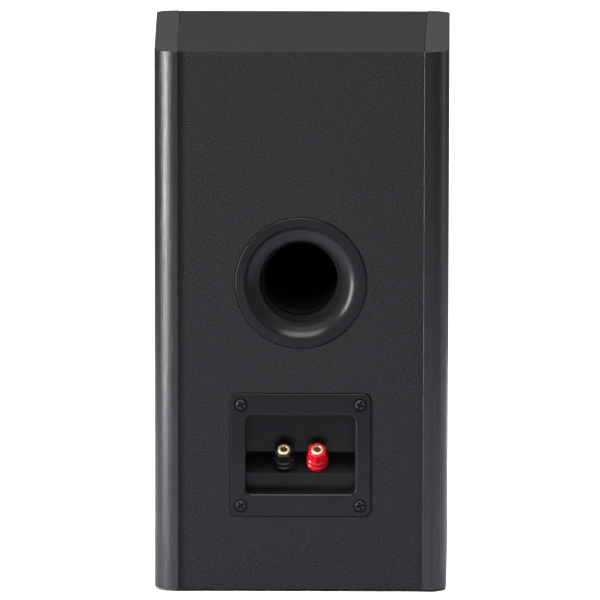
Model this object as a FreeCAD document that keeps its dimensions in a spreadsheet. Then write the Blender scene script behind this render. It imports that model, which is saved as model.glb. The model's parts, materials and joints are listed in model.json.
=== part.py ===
import FreeCAD, Part
import math
import operator
import os

import Sketcher
from FreeCAD import Placement, Rotation, Vector

# A two-way bookshelf speaker. +Z is up, the listening side faces -Y and the
# connections face +Y. The origin is on the ground, under the middle of the box.
# All sizes are in millimetres.

SIZES = {
    # Cabinet
    "cabinet_height": 308.5,
    "cabinet_depth": 214.0,
    "front_half_width": 86.7,
    "rear_half_width": 83.0,
    "panel_thickness": 13.5,
    "rear_round": 13.2,
    "front_round": 11.0,
    "seam_round": 0.5,
    "back_reveal": 1.8,
    "top_reveal": 2.0,
    "grille_recess": 10.0,
    "baffle_thickness": 15.0,
    "brace_front": 20.0,
    "brace_thickness": 12.0,
    "brace_leg": 15.5,
    "brace_bar_low": 135.0,
    "brace_bar_tall": 15.0,
    "foot_height": 1.5,
    "foot_radius": 7.0,
    "foot_inset": 18.0,
    # Port
    "port_height": 178.0,
    "port_flange_radius": 37.4,
    "port_flange_thick": 3.0,
    "port_flat_radius": 32.3,
    "port_throat_radius": 21.0,
    "port_lip_radius": 10.0,
    "port_proud": 0.4,
    "port_wall": 2.1,
    "port_socket_start": 26.0,
    "port_socket_end": 38.0,
    "port_tube_length": 85.0,
    "fit_gap": 0.4,
    "loose_gap": 0.5,
    # Terminal plate, its recess and its binding posts
    "plate_width": 79.8,
    "plate_low": 43.9,
    "plate_high": 114.4,
    "plate_thick": 3.0,
    "plate_proud": 0.8,
    "plate_corner": 4.0,
    "gasket_thick": 1.0,
    "recess_width": 62.2,
    "recess_low": 56.6,
    "recess_high": 101.8,
    "recess_corner": 3.5,
    "recess_deep": 24.7,
    "recess_shallow": 14.0,
    "recess_wall": 2.2,
    "ledge_low": 66.4,
    "plate_screw_x": 33.9,
    "plate_screw_low": 49.9,
    "plate_screw_high": 108.0,
    "screw_head_radius": 3.4,
    "screw_head_tall": 1.8,
    "screw_shank_radius": 1.6,
    "screw_length": 15.0,
    "screw_seat_deep": 1.4,
    "post_spacing": 19.05,
    "post_radius": 3.6,
    "post_socket_radius": 2.0,
    "post_tip": 13.0,
    "post_tail": 11.0,
    "post_collar_radius": 6.3,
    "post_collar_tall": 2.6,
    "post_clear": 0.1,
    "washer_thick": 0.8,
    "cap_across_flats": 9.8,
    "cap_end": 12.7,
    "cap_grip_tall": 6.3,
    "cap_skirt_radius": 6.1,
    "nut_across_flats": 10.0,
    "nut_thick": 3.0,
    # Woofer
    "woofer_height": 103.0,
    "woofer_radius": 68.0,
    "woofer_flange": 3.5,
    "woofer_hole": 61.0,
    "woofer_screw_circle": 63.0,
    "coil_radius": 12.7,
    "cone_radius": 47.5,
    "roll_outer": 55.8,
    # Tweeter
    "tweeter_height": 231.0,
    "tweeter_radius": 46.0,
    "tweeter_flange": 3.0,
    "tweeter_hole": 39.0,
    "tweeter_screw_circle": 42.3,
    "dome_radius": 12.5,
    # Grille
    "grille_gap": 1.3,
    "grille_rail": 9.0,
    "grille_rear_gap": 0.3,
    "cloth_thick": 0.5,
    "peg_radius": 3.0,
    "peg_length": 9.0,
    "peg_x": 67.0,
    "peg_low": 24.0,
    "peg_high": 287.5,
    # Crossover
    "board_half_width": 55.0,
    "board_front": -6.0,
    "board_rear": 68.0,
    "board_thick": 1.6,
    "standoff_tall": 8.0,
    "lead_radius": 1.1,
}

OPERATIONS = {"+": operator.add, "-": operator.sub, "*": operator.mul, "/": operator.truediv}


class Size:
    """A length that carries both its number and the sheet expression behind it."""

    def __init__(self, number, text):
        self.number = number
        self.text = text

    def __add__(self, other):
        return combine(self, "+", other)

    def __radd__(self, other):
        return combine(other, "+", self)

    def __sub__(self, other):
        return combine(self, "-", other)

    def __rsub__(self, other):
        return combine(other, "-", self)

    def __mul__(self, other):
        return combine(self, "*", other)

    def __rmul__(self, other):
        return combine(other, "*", self)

    def __truediv__(self, other):
        return combine(self, "/", other)

    def __neg__(self):
        return combine(0.0, "-", self)


def as_size(value):
    if isinstance(value, Size):
        return value
    return Size(float(value), f"({float(value)})")


def combine(left, sign, right):
    left = as_size(left)
    right = as_size(right)
    number = OPERATIONS[sign](left.number, right.number)
    return Size(number, f"({left.text} {sign} {right.text})")


def size(alias):
    return Size(float(sheet.get(alias)), f"sizes.{alias}")


# ---------------------------------------------------------------- document

doc = FreeCAD.newDocument("bookshelf_speaker")
sheet = doc.addObject("Spreadsheet::Sheet", "sizes")
for row, (alias_name, value_number) in enumerate(SIZES.items(), start=1):
    sheet.set(f"A{row}", alias_name.replace("_", " "))
    sheet.set(f"B{row}", str(value_number))
    sheet.setAlias(f"B{row}", alias_name)
doc.recompute()

PLANE_SIGN = {"XY_Plane": 1.0, "XZ_Plane": -1.0, "YZ_Plane": 1.0}
nodes = []


# ---------------------------------------------------------------- modelling helpers

def keep(thing, name):
    """Marks an object as a finished sub-part with its own file."""
    thing.Label = name
    nodes.append(thing)
    return thing


def new_body(name, x=0.0, y=0.0, z=0.0, rotation=None):
    body = doc.addObject("PartDesign::Body", name)
    body.Placement = Placement(Vector(0, 0, 0), rotation or Rotation())
    for axis, value in (("x", x), ("y", y), ("z", z)):
        body.setExpression(f"Placement.Base.{axis}", as_size(value).text)
    return body


def new_sketch(body, name, plane, offset=0.0):
    """A sketch on one of the body's own planes, moved along that plane's world axis."""
    sketch = body.newObject("Sketcher::SketchObject", name)
    origin_plane = [item for item in body.Origin.OriginFeatures if item.Role == plane][0]
    sketch.AttachmentSupport = [(origin_plane, "")]
    sketch.MapMode = "FlatFace"
    shift = as_size(offset) * PLANE_SIGN[plane]
    sketch.setExpression("AttachmentOffset.Base.z", shift.text)
    return sketch


def pin(sketch, geometry, point, x, y):
    """Ties one point of a sketch's geometry to coordinates from the sheet."""
    for kind, value in (("DistanceX", x), ("DistanceY", y)):
        value = as_size(value)
        index = sketch.addConstraint(Sketcher.Constraint(kind, -1, 1, geometry, point, value.number))
        sketch.setExpression(f"Constraints[{index}]", value.text)


def arc_between(start, end, radius):
    """The short arc of a signed radius: positive turns left on the way to its end."""
    chord = end - start
    half = chord.Length / 2
    reach = math.sqrt(max(radius * radius - half * half, 0.0))
    left = Vector(-chord.y, chord.x, 0).normalize()
    side = 1.0 if radius > 0 else -1.0
    centre = (start + end) * 0.5 + left * reach * side
    circle = Part.Circle(centre, Vector(0, 0, 1), abs(radius))
    first, last = (start, end) if radius > 0 else (end, start)
    angles = [math.atan2(spot.y - centre.y, spot.x - centre.x) for spot in (first, last)]
    return Part.ArcOfCircle(circle, angles[0], angles[1])


def outline(sketch, corners, arcs=None):
    """A closed outline. arcs gives the signed radius of the edge after a corner."""
    arcs = arcs or {}
    spots = [Vector(as_size(x).number, as_size(y).number, 0) for x, y in corners]
    count = len(corners)
    ends = []
    for index in range(count):
        start = spots[index]
        end = spots[(index + 1) % count]
        if index in arcs:
            radius = as_size(arcs[index])
            edge = sketch.addGeometry(arc_between(start, end, radius.number), False)
            number = sketch.addConstraint(Sketcher.Constraint("Radius", edge, abs(radius.number)))
            sketch.setExpression(f"Constraints[{number}]", f"abs({radius.text})")
            ends.append((edge, 1, 2) if radius.number > 0 else (edge, 2, 1))
        else:
            edge = sketch.addGeometry(Part.LineSegment(start, end), False)
            ends.append((edge, 1, 2))
    for index in range(count):
        edge, _, last = ends[index]
        next_edge, first, _ = ends[(index + 1) % count]
        sketch.addConstraint(Sketcher.Constraint("Coincident", edge, last, next_edge, first))
    for index, (x, y) in enumerate(corners):
        edge, first, _ = ends[index]
        pin(sketch, edge, first, x, y)


def circle(sketch, x, y, radius):
    radius = as_size(radius)
    spot = Vector(as_size(x).number, as_size(y).number, 0)
    ring = sketch.addGeometry(Part.Circle(spot, Vector(0, 0, 1), radius.number), False)
    index = sketch.addConstraint(Sketcher.Constraint("Radius", ring, radius.number))
    sketch.setExpression(f"Constraints[{index}]", radius.text)
    pin(sketch, ring, 3, x, y)


def rectangle(left, low, right, high):
    return [(left, low), (right, low), (right, high), (left, high)]


def hexagon(across_flats):
    corner = across_flats / math.sqrt(3.0)
    turns = [math.radians(60 * step) for step in range(6)]
    return [(corner * math.cos(turn), corner * math.sin(turn)) for turn in turns]


def extrude(body, sketch, kind, name, length):
    """A pad or pocket that reaches half its length to each side of its sketch."""
    feature = body.newObject(f"PartDesign::{kind}", name)
    feature.Profile = sketch
    if kind == "Pocket":
        feature.Midplane = True
    else:
        feature.SideType = "Symmetric"
    feature.setExpression("Length", as_size(length).text)
    body.Tip = feature
    return feature


def slab(body, name, plane, low, high, corners, arcs=None, kind="Pad"):
    """An outline made solid, or cut away, between two positions along its plane's axis."""
    sketch = new_sketch(body, f"{name}_outline", plane, (as_size(low) + high) / 2)
    outline(sketch, corners, arcs)
    return extrude(body, sketch, kind, name, as_size(high) - low)


def disc(body, name, plane, low, high, circles, kind="Pad"):
    """Round outlines made solid, or cut away. circles holds (x, y, radius) for each."""
    sketch = new_sketch(body, f"{name}_outline", plane, (as_size(low) + high) / 2)
    for x, y, radius in circles:
        circle(sketch, x, y, radius)
    return extrude(body, sketch, kind, name, as_size(high) - low)


def turned(body, name, plane, axis, corners, arcs=None):
    """A solid of revolution about the sketch's own H_Axis or V_Axis."""
    sketch = new_sketch(body, f"{name}_outline", plane)
    outline(sketch, corners, arcs)
    feature = body.newObject("PartDesign::Revolution", name)
    feature.Profile = sketch
    feature.ReferenceAxis = (sketch, [axis])
    feature.Angle = 360
    body.Tip = feature
    return feature


def edge_names(feature, test):
    doc.recompute()
    found = [f"Edge{number}" for number, edge in enumerate(feature.Shape.Edges, start=1) if test(edge)]
    if not found:
        raise RuntimeError(f"no edge found on {feature.Name}")
    return found


def soften(body, name, feature, radius, test, kind="Fillet"):
    """Rounds or chamfers the edges of a feature that pass the test."""
    rounded = body.newObject(f"PartDesign::{kind}", name)
    rounded.Base = (feature, edge_names(feature, test))
    rounded.setExpression("Radius" if kind == "Fillet" else "Size", as_size(radius).text)
    body.Tip = rounded
    doc.recompute()
    return rounded


def runs_along(edge, axis):
    box = edge.BoundBox
    lengths = {"x": box.XLength, "y": box.YLength, "z": box.ZLength}
    across = [lengths[other] for other in "xyz" if other != axis]
    return lengths[axis] > 1e-6 and max(across) < 1e-6


def lies_at(edge, axis, value):
    box = edge.BoundBox
    low, high = {"x": (box.XMin, box.XMax), "y": (box.YMin, box.YMax), "z": (box.ZMin, box.ZMax)}[axis]
    return abs(low - value) < 1e-4 and abs(high - value) < 1e-4


def group(name, master, places, rotations=None):
    """Several copies of one master as one sub-part of separate solids."""
    copies = []
    for number, place in enumerate(places):
        copy = doc.addObject("App::Link", f"{name}_copy")
        copy.LinkedObject = master
        turn = rotations[number] if rotations else Rotation()
        copy.Placement = Placement(Vector(0, 0, 0), turn)
        for axis, value in zip("xyz", place):
            copy.setExpression(f"Placement.Base.{axis}", as_size(value).text)
        copies.append(copy)
    together = doc.addObject("Part::Compound", name)
    together.Links = copies
    return keep(together, name)


def mirrored_places(x, y, z):
    return [(-x, y, z), (x, y, z)]


# ---------------------------------------------------------------- main positions

ground = size("foot_height")
roof = ground + size("cabinet_height")
front_end = -size("cabinet_depth") / 2
rear_end = size("cabinet_depth") / 2
thick = size("panel_thickness")
back_face = rear_end - size("back_reveal")
back_inside = back_face - thick
shell_front = front_end + size("top_reveal")
baffle_face = shell_front + size("grille_recess")
baffle_back = baffle_face + size("baffle_thickness")
floor_inside = ground + thick
roof_inside = roof - thick
taper = (size("front_half_width") - size("rear_half_width")) / size("cabinet_depth")
front_inner = size("front_half_width") - thick
rear_inner = size("rear_half_width") - thick
wide = size("front_half_width")
plate_face = back_face + size("plate_proud")
plate_back = plate_face - size("plate_thick")
post_x = size("post_spacing") / 2
post_y = plate_face - (size("recess_deep") + size("recess_shallow")) / 2
post_z = size("ledge_low") + (size("recess_deep") - size("recess_shallow")) / 2
POST_TURN = Rotation(Vector(1, 0, 0), -45)


# ---------------------------------------------------------------- cabinet

def side_panel(name, side):
    """One long side, wrapped over big round edges. side is 1 for +X and -1 for -X."""
    body = new_body(name)
    corners = [
        (side * front_inner, front_end),
        (side * size("front_half_width"), front_end),
        (side * size("rear_half_width"), rear_end),
        (side * rear_inner, rear_end),
    ]
    board = slab(body, "board", "XY_Plane", ground, roof, corners)
    front_x = side * size("front_half_width").number
    rear_x = side * size("rear_half_width").number
    rear = soften(body, "rear_round", board, size("rear_round"),
                  lambda edge: runs_along(edge, "z") and lies_at(edge, "x", rear_x))
    front = soften(body, "front_round", rear, size("front_round"),
                   lambda edge: runs_along(edge, "z") and lies_at(edge, "x", front_x))
    inner_x = side * rear_inner.number
    soften(body, "seam_round", front, size("seam_round"),
           lambda edge: (runs_along(edge, "z") and lies_at(edge, "x", inner_x))
           or (lies_at(edge, "z", roof.number) and edge.BoundBox.YLength > 200
               and abs(edge.BoundBox.Center.x) < (front_inner.number + rear_inner.number) / 2 + 1))
    return keep(body, name)


def trim_to_sides(body):
    """Cuts a cross panel to the taper between the two side panels."""
    for side, word in ((1, "right"), (-1, "left")):
        corners = [
            (side * front_inner, front_end),
            (side * (wide + 1), front_end),
            (side * (wide + 1), rear_end),
            (side * rear_inner, rear_end),
        ]
        slab(body, f"{word}_taper", "XY_Plane", 0, roof + 1, corners, kind="Pocket")


def cross_panel(name, corners):
    """A panel between the sides, drawn in the YZ plane and mitred where it meets another."""
    body = new_body(name)
    slab(body, "board", "YZ_Plane", -wide, wide, corners)
    trim_to_sides(body)
    return body


def top_panel():
    corners = [
        (shell_front, roof_inside),
        (back_inside, roof_inside),
        (back_face, roof),
        (shell_front, roof),
    ]
    body = cross_panel("top_panel", corners)
    soften(body, "seam_round", body.Tip, size("seam_round"),
           lambda edge: lies_at(edge, "z", roof.number) and edge.BoundBox.YLength > 200)
    return keep(body, "top_panel")


def bottom_panel():
    corners = [
        (shell_front, ground),
        (back_face, ground),
        (back_inside, floor_inside),
        (shell_front, floor_inside),
    ]
    body = cross_panel("bottom_panel", corners)
    disc(body, "board_screw_holes", "XY_Plane", floor_inside - 8, floor_inside + 1,
         [(x, y, size("screw_shank_radius")) for x, y in board_screw_spots()], kind="Pocket")
    return keep(body, "bottom_panel")


def board_screw_spots():
    margin = 6
    across = size("board_half_width") - margin
    rows = (size("board_front") + margin, size("board_rear") - margin)
    return [(side * across, row) for row in rows for side in (-1, 1)]


def plate_outline(grow):
    across = size("plate_width") / 2 + grow
    return rectangle(-across, size("plate_low") - grow, across, size("plate_high") + grow)


def plate_screw_spots():
    rows = (size("plate_screw_low"), size("plate_screw_high"))
    return [(side * size("plate_screw_x"), row) for row in rows for side in (-1, 1)]


def back_panel():
    """The back, with rebates that let the port and the terminal plate lie almost flush."""
    corners = [
        (back_face, ground),
        (back_face, roof),
        (back_inside, roof_inside),
        (back_inside, floor_inside),
    ]
    body = cross_panel("back_panel", corners)
    gap = size("fit_gap")
    port_spot = (0, size("port_height"))
    port_rebate = size("port_flange_thick") - size("port_proud")
    disc(body, "port_rebate", "XZ_Plane", back_face - port_rebate, back_face + port_rebate,
         [(*port_spot, size("port_flange_radius") + gap)], kind="Pocket")
    disc(body, "port_hole", "XZ_Plane", back_inside - 1, back_face + 1,
         [(*port_spot, size("port_flat_radius") + 1.9)], kind="Pocket")
    plate_rebate = size("plate_thick") + size("gasket_thick") - size("plate_proud")
    rebate = slab(body, "plate_rebate", "XZ_Plane", back_face - plate_rebate,
                  back_face + plate_rebate, plate_outline(gap), kind="Pocket")
    rebate_x = plate_outline(gap)[1][0].number
    soften(body, "plate_rebate_corners", rebate, size("plate_corner") + gap,
           lambda edge: runs_along(edge, "y") and lies_at(edge, "x", math.copysign(
               rebate_x, edge.BoundBox.XMin)))
    across = size("recess_width") / 2 + size("recess_wall") + size("loose_gap")
    slab(body, "recess_hole", "XZ_Plane", back_inside - 1, back_face + 1,
         rectangle(-across, size("recess_low") - size("recess_wall") - size("loose_gap"),
                   across, size("recess_high") + size("recess_wall") + size("loose_gap")), kind="Pocket")
    disc(body, "plate_screw_holes", "XZ_Plane", back_inside - 1, back_face + 1,
         [(x, z, size("screw_shank_radius")) for x, z in plate_screw_spots()], kind="Pocket")
    return keep(body, "back_panel")


def ring_spots(radius, centre, count, start):
    """Evenly spaced spots round a centre on the front, as (x, z)."""
    turns = [math.radians(start + 360 / count * step) for step in range(count)]
    return [(radius * math.cos(turn), centre + radius * math.sin(turn)) for turn in turns]


def woofer_screw_spots():
    return ring_spots(size("woofer_screw_circle"), size("woofer_height"), 4, 45)


def tweeter_screw_spots():
    return ring_spots(size("tweeter_screw_circle"), size("tweeter_height"), 3, 90)


def peg_spots():
    rows = (size("peg_low"), size("peg_high"))
    return [(side * size("peg_x"), row) for row in rows for side in (-1, 1)]


def front_baffle():
    """The front board, with rebated holes for both drivers and the grille's sockets."""
    body = new_body("front_baffle")
    slab(body, "board", "XZ_Plane", baffle_face, baffle_back,
         rectangle(-wide, floor_inside, wide, roof_inside))
    trim_to_sides(body)
    gap = size("fit_gap")
    woofer = (0, size("woofer_height"))
    tweeter = (0, size("tweeter_height"))
    woofer_cut = size("woofer_flange")
    tweeter_cut = size("tweeter_flange")
    disc(body, "woofer_rebate", "XZ_Plane", baffle_face - woofer_cut, baffle_face + woofer_cut,
         [(*woofer, size("woofer_radius") + gap)], kind="Pocket")
    disc(body, "tweeter_rebate", "XZ_Plane", baffle_face - tweeter_cut, baffle_face + tweeter_cut,
         [(*tweeter, size("tweeter_radius") + gap)], kind="Pocket")
    disc(body, "driver_holes", "XZ_Plane", baffle_face - 1, baffle_back + 1,
         [(*woofer, size("woofer_hole")), (*tweeter, size("tweeter_hole"))], kind="Pocket")
    screws = woofer_screw_spots() + tweeter_screw_spots()
    disc(body, "driver_screw_holes", "XZ_Plane", baffle_face - 1, baffle_back + 1,
         [(x, z, size("screw_shank_radius")) for x, z in screws], kind="Pocket")
    disc(body, "peg_holes", "XZ_Plane", baffle_face - 1, baffle_back + 1,
         [(x, z, size("peg_radius") + 1.4) for x, z in peg_spots()], kind="Pocket")
    return keep(body, "front_baffle")


def window_brace():
    """A frame across the inside, open for the port tube above and the crossover below."""
    body = new_body("window_brace")
    front = size("brace_front")
    rear = front + size("brace_thickness")
    slab(body, "board", "XZ_Plane", front, rear,
         rectangle(-wide, floor_inside, wide, roof_inside))
    trim_to_sides(body)
    opening = rear_inner - size("brace_leg") + 1.5
    bar_high = size("brace_bar_low") + size("brace_bar_tall")
    slab(body, "lower_window", "XZ_Plane", front - 1, rear + 1,
         rectangle(-opening, floor_inside - 1, opening, size("brace_bar_low")), kind="Pocket")
    slab(body, "upper_window", "XZ_Plane", front - 1, rear + 1,
         rectangle(-opening, bar_high, opening, roof_inside - 18), kind="Pocket")
    return keep(body, "window_brace")


def rubber_feet():
    """Four thin stick-on pads."""
    foot = new_body("foot_master")
    height = size("foot_height")
    radius = size("foot_radius")
    turned(foot, "pad", "XZ_Plane", "V_Axis",
           [(0, 0), (radius - 0.5, 0), (radius, 0.5), (radius, height), (0, height)])
    inset = size("foot_inset")
    front_y = front_end + inset
    rear_y = rear_end - inset
    places = mirrored_places(size("front_half_width") - inset - 14, front_y, 0)
    places += mirrored_places(size("rear_half_width") - inset - 14, rear_y, 0)
    return group("rubber_feet", foot, places)


# ---------------------------------------------------------------- port

# The lip turns through 60 degrees before the long arc takes over.
LIP_SINE = math.sin(math.radians(60))
LIP_COSINE_LEFT = 1 - math.cos(math.radians(60))


def port_flare():
    """The moulded mouth: a flat ring, a flare in two tangent arcs, and a socket for the tube."""
    body = new_body("port_flare", z=size("port_height"))
    face = back_face + size("port_proud")
    flange = size("port_flange_radius")
    flat = size("port_flat_radius")
    throat = size("port_throat_radius")
    lip = size("port_lip_radius")
    lip_across = lip * LIP_SINE
    lip_deep = lip * LIP_COSINE_LEFT
    sweep = (flat - throat - lip_across) / (1 - LIP_SINE)
    flare_deep = lip_deep + sweep * (1 - LIP_COSINE_LEFT)
    flare_end = face - flare_deep
    socket = throat + size("port_wall")
    neck = socket + size("port_wall")
    step = face - size("port_socket_start")
    end = face - size("port_socket_end")
    edge = 0.8
    corners = [
        (face, flange - edge),
        (face, flat),
        (face - lip_deep, flat - lip_across),
        (flare_end, throat),
        (step, throat),
        (step, socket),
        (end, socket),
        (end, neck),
        (flare_end, neck),
        (face - lip, flat - size("port_flange_thick")),
        (face - size("port_flange_thick"), flat + 1.3),
        (face - size("port_flange_thick"), flange),
        (face - edge, flange),
    ]
    turned(body, "mouth", "YZ_Plane", "H_Axis", corners, {1: lip, 2: sweep, 12: edge})
    return keep(body, "port_flare")


def port_tube():
    body = new_body("port_tube", z=size("port_height"))
    throat = size("port_throat_radius")
    outer = throat + size("port_wall") - 0.05
    start = back_face + size("port_proud") - size("port_socket_start")
    end = start - size("port_tube_length")
    turned(body, "tube", "YZ_Plane", "H_Axis",
           [(end, throat), (start, throat), (start, outer), (end, outer)])
    return keep(body, "port_tube")


# ---------------------------------------------------------------- terminals

def terminal_cup():
    """The moulded plate with a recess, whose sloping ledge carries the binding posts."""
    body = new_body("terminal_cup")
    deep = plate_face - size("recess_deep")
    shallow = plate_face - size("recess_shallow")
    wall = size("recess_wall")
    high = size("recess_high")
    low = size("recess_low")
    ledge = size("ledge_low")
    ledge_high = ledge + size("recess_deep") - size("recess_shallow")
    slope_wall = wall * math.sqrt(2.0)
    half = size("recess_width") / 2
    plate = slab(body, "plate", "XZ_Plane", plate_back, plate_face, plate_outline(0))
    plate_x = size("plate_width").number / 2
    soften(body, "plate_corners", plate, size("plate_corner"),
           lambda edge: runs_along(edge, "y"))
    slab(body, "shell", "YZ_Plane", -half - wall, half + wall, [
        (plate_face - 1, high + wall),
        (deep - wall, high + wall),
        (deep - wall, ledge_high + wall - slope_wall),
        (shallow - wall, ledge + wall - slope_wall),
        (shallow - wall, low - wall),
        (plate_face - 1, low - wall),
    ])
    recess = slab(body, "recess", "YZ_Plane", -half, half, [
        (plate_face + 1, high),
        (deep, high),
        (deep, ledge_high),
        (shallow, ledge),
        (shallow, low),
        (plate_face + 1, low),
    ], kind="Pocket")
    corner = soften(body, "recess_corners", recess, size("recess_corner"),
                    lambda edge: runs_along(edge, "y") and lies_at(edge, "x", math.copysign(
                        half.number, edge.BoundBox.XMin)))
    lip = soften(body, "lip", corner, 1.3,
                 lambda edge: lies_at(edge, "y", plate_face.number)
                 and abs(edge.BoundBox.XMin) < half.number + 0.01
                 and abs(edge.BoundBox.XMax) < half.number + 0.01
                 and low.number - 0.01 < edge.BoundBox.ZMin
                 and edge.BoundBox.ZMax < high.number + 0.01)
    soften(body, "plate_rim", lip, 0.5,
           lambda edge: lies_at(edge, "y", plate_face.number)
           and (max(abs(edge.BoundBox.XMin), abs(edge.BoundBox.XMax)) > plate_x - 5
                or edge.BoundBox.ZMin < size("plate_low").number + 5
                or edge.BoundBox.ZMax > size("plate_high").number - 5))
    disc(body, "screw_seats", "XZ_Plane", plate_face - size("screw_seat_deep"), plate_face + 1,
         [(x, z, size("screw_head_radius") + 0.5) for x, z in plate_screw_spots()], kind="Pocket")
    disc(body, "screw_holes", "XZ_Plane", plate_back - 1, plate_face + 1,
         [(x, z, size("screw_shank_radius") + 0.2) for x, z in plate_screw_spots()], kind="Pocket")
    bar = 0.8
    arm = 1.9
    mark_z = (low + ledge) / 2 + 0.4
    mark_low = shallow - 0.3
    mark_high = shallow + 0.5
    for word, x in (("minus", post_x), ("plus", -post_x)):
        slab(body, f"{word}_bar", "XZ_Plane", mark_low, mark_high,
             rectangle(x - arm, mark_z - bar / 2, x + arm, mark_z + bar / 2))
    slab(body, "plus_upright", "XZ_Plane", mark_low, mark_high,
         rectangle(-post_x - bar / 2, mark_z - arm, -post_x + bar / 2, mark_z + arm))
    bore = new_sketch(body, "post_holes_outline", "XY_Plane")
    for side in (-1, 1):
        circle(bore, side * post_x, 0, size("post_radius") + 0.05)
    bore.AttachmentOffset = Placement(Vector(0, post_y.number, post_z.number), POST_TURN)
    for axis, value in (("y", post_y), ("z", post_z)):
        bore.setExpression(f"AttachmentOffset.Base.{axis}", value.text)
    extrude(body, bore, "Pocket", "post_holes", 8)
    return keep(body, "terminal_cup")


def terminal_gasket():
    """The foam seal that the plate is screwed down on."""
    body = new_body("terminal_gasket")
    low = plate_back - size("gasket_thick")
    wall = size("recess_wall") + size("loose_gap")
    half = size("recess_width") / 2 + wall
    ring = slab(body, "ring", "XZ_Plane", low, plate_back, plate_outline(0))
    soften(body, "corners", ring, size("plate_corner"), lambda edge: runs_along(edge, "y"))
    slab(body, "middle", "XZ_Plane", low - 1, plate_back + 1,
         rectangle(-half, size("recess_low") - wall, half, size("recess_high") + wall),
         kind="Pocket")
    disc(body, "screw_holes", "XZ_Plane", low - 1, plate_back + 1,
         [(x, z, size("screw_shank_radius") + 0.2) for x, z in plate_screw_spots()], kind="Pocket")
    return keep(body, "terminal_gasket")


def screw_master(name, length):
    """A pan-head wood screw, upright, with its head's seat at z = 0 and a cross recess."""
    body = new_body(name)
    head = size("screw_head_radius")
    tall = size("screw_head_tall")
    shank = size("screw_shank_radius") - 0.05
    turned(body, "blank", "XZ_Plane", "V_Axis", [
        (0, -length),
        (shank, 2 - length),
        (shank, 0),
        (head, 0),
        (head - 0.1, 0.5),
        (head - 1.2, tall),
        (0, tall),
    ], {4: 2.2})
    arm = 2.3
    bar = 0.6
    for word, wide_x, wide_y in (("slot_a", arm, bar), ("slot_b", bar, arm)):
        slab(body, word, "XY_Plane", tall - 1.4, tall + 1,
             rectangle(-wide_x, -wide_y, wide_x, wide_y), kind="Pocket")
    return body


def terminal_screws():
    screw = screw_master("terminal_screw_master", size("screw_length"))
    seat = plate_face - size("screw_seat_deep")
    places = [(x, seat, z) for x, z in plate_screw_spots()]
    facing = Rotation(Vector(1, 0, 0), -90)
    turns = [facing.multiply(Rotation(Vector(0, 0, 1), angle)) for angle in (12, 38, 71, 25)]
    return group("terminal_screws", screw, places, turns)


def post_core(name, side):
    """The plated, threaded core of a binding post, with a 4 mm socket and a wire hole."""
    body = new_body(name, side * post_x, post_y, post_z, POST_TURN)
    radius = size("post_radius")
    bore = size("post_socket_radius")
    tip = size("post_tip")
    turned(body, "core", "XZ_Plane", "V_Axis", [
        (0, -size("post_tail")),
        (radius - 0.5, -size("post_tail")),
        (radius, 0.5 - size("post_tail")),
        (radius, tip - 0.3),
        (radius - 0.3, tip),
        (bore + 0.2, tip),
        (bore, tip - 0.2),
        (bore, tip - 12),
        (0, tip - 13),
    ])
    wire_hole = size("post_collar_tall") + size("washer_thick") + 2.0
    disc(body, "wire_hole", "YZ_Plane", -radius - 1, radius + 1, [(0, wire_hole, 1.3)], kind="Pocket")
    return keep(body, name)


def post_collar(name, side):
    """The moulded insulating collar that stands on the ledge."""
    body = new_body(name, side * post_x, post_y, post_z, POST_TURN)
    outer = size("post_collar_radius")
    bore = size("post_radius") + 0.05
    tall = size("post_collar_tall")
    turned(body, "collar", "XZ_Plane", "V_Axis", [
        (bore, 0.02),
        (outer, 0.02),
        (outer, tall - 0.6),
        (outer - 0.6, tall),
        (bore, tall),
    ])
    return keep(body, name)


def clamp_washer(name, side):
    """The loose plated washer between collar and cap, which grips the wire."""
    body = new_body(name, side * post_x, post_y, post_z, POST_TURN)
    low = size("post_collar_tall") + 0.05
    bore = size("post_radius") + size("post_clear")
    turned(body, "washer", "XZ_Plane", "V_Axis", [
        (bore, low),
        (size("post_collar_radius") - 0.8, low),
        (size("post_collar_radius") - 0.8, low + size("washer_thick")),
        (bore, low + size("washer_thick")),
    ])
    return keep(body, name)


def post_cap(name, side, turn):
    """The screw cap: a hexagonal grip on a round, slightly tapered skirt."""
    facing = POST_TURN.multiply(Rotation(Vector(0, 0, 1), turn))
    body = new_body(name, side * post_x, post_y, post_z, facing)
    low = size("post_collar_tall") + size("washer_thick") + 0.1
    end = size("cap_end")
    skirt = size("cap_skirt_radius")
    shoulder = end - size("cap_grip_tall")
    grip = slab(body, "grip", "XY_Plane", low, end, hexagon(size("cap_across_flats")))
    soften(body, "crown", grip, 0.6, lambda edge: lies_at(edge, "z", end.number), "Chamfer")
    turned(body, "skirt", "XZ_Plane", "V_Axis", [
        (0, low),
        (skirt - 0.3, low),
        (skirt, low + 0.3),
        (skirt, shoulder - 0.8),
        (skirt - 0.8, shoulder),
        (0, shoulder),
    ])
    disc(body, "bore", "XY_Plane", low - 1, end + 1,
         [(0, 0, size("post_radius") + size("post_clear"))], kind="Pocket")
    return keep(body, name)


def post_nuts():
    """The nuts behind the ledge that hold the cores."""
    nut = new_body("post_nut_master")
    high = -size("recess_wall") - 0.9
    slab(nut, "blank", "XY_Plane", high - size("nut_thick"), high, hexagon(size("nut_across_flats")))
    disc(nut, "bore", "XY_Plane", high - size("nut_thick") - 1, high + 1,
         [(0, 0, size("post_radius") + 0.02)], kind="Pocket")
    return group("post_nuts", nut, mirrored_places(post_x, post_y, post_z), [POST_TURN, POST_TURN])


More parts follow.
